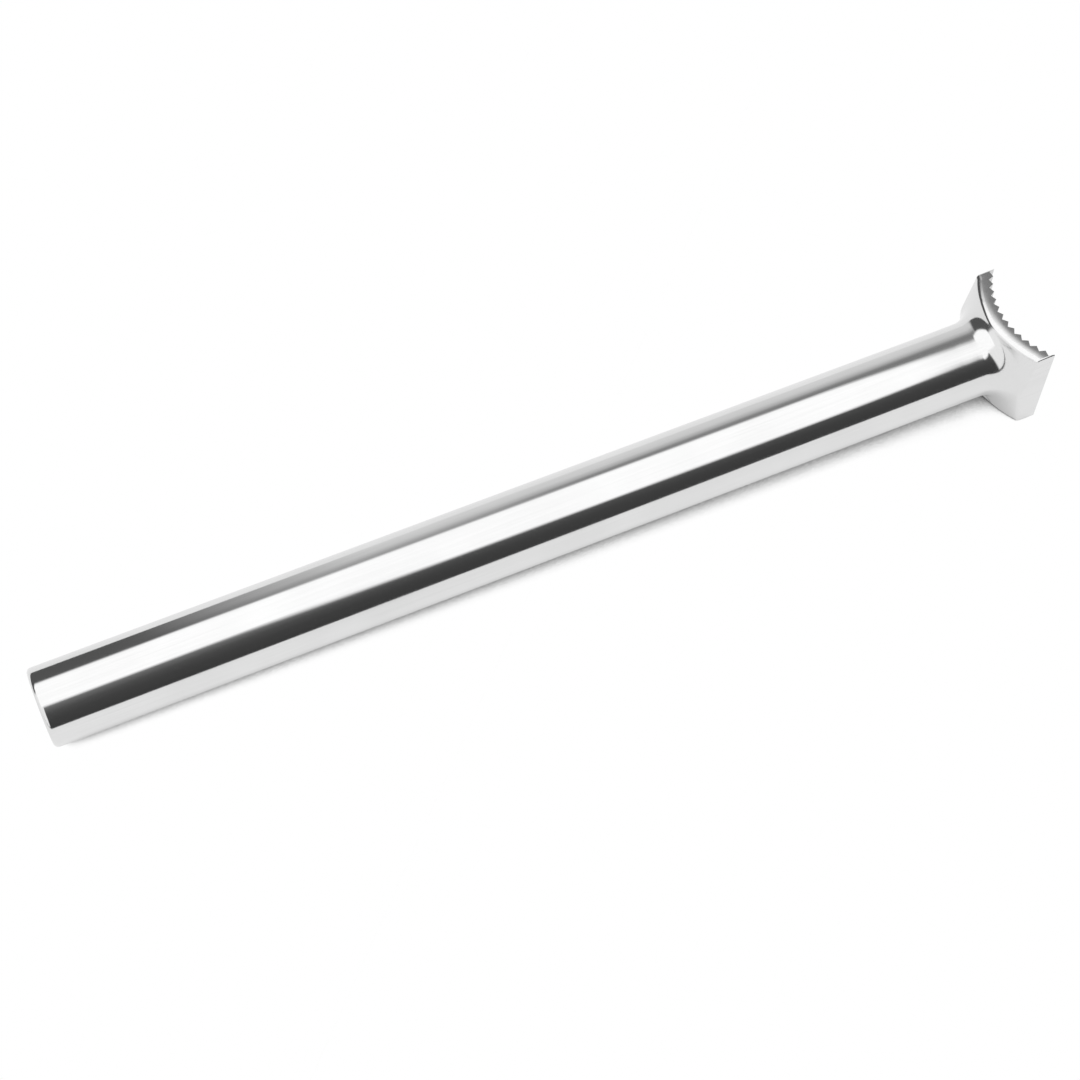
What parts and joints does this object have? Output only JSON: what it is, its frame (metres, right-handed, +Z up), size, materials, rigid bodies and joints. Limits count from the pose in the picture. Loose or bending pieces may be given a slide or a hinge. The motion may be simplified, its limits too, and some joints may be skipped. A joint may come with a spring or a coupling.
{
  "type": "bicycle seatpost",
  "caption": "One-piece polished aluminium bicycle seatpost: a hollow round tube with an arched, serrated seat for a pivoting saddle and a tapped hole for its bolt.",
  "frame": {"origin": "on the ground, below the middle of the post's box, as it lies on its side at rest", "axes": "+X runs along the post from the open end to the saddle seat, +Z is up, and the seat's arc is curved about an axis near +Z. The tube climbs 0.8 degrees towards the wider seat."},
  "size_m": [0.3372, 0.0388, 0.0345],
  "materials": {
    "polished_aluminium": "mirror polished outside, plain machined bore, teeth and thread"
  },
  "bodies": {
    "root": {"seatpost": "polished_aluminium"}
  },
  "joints": []
}
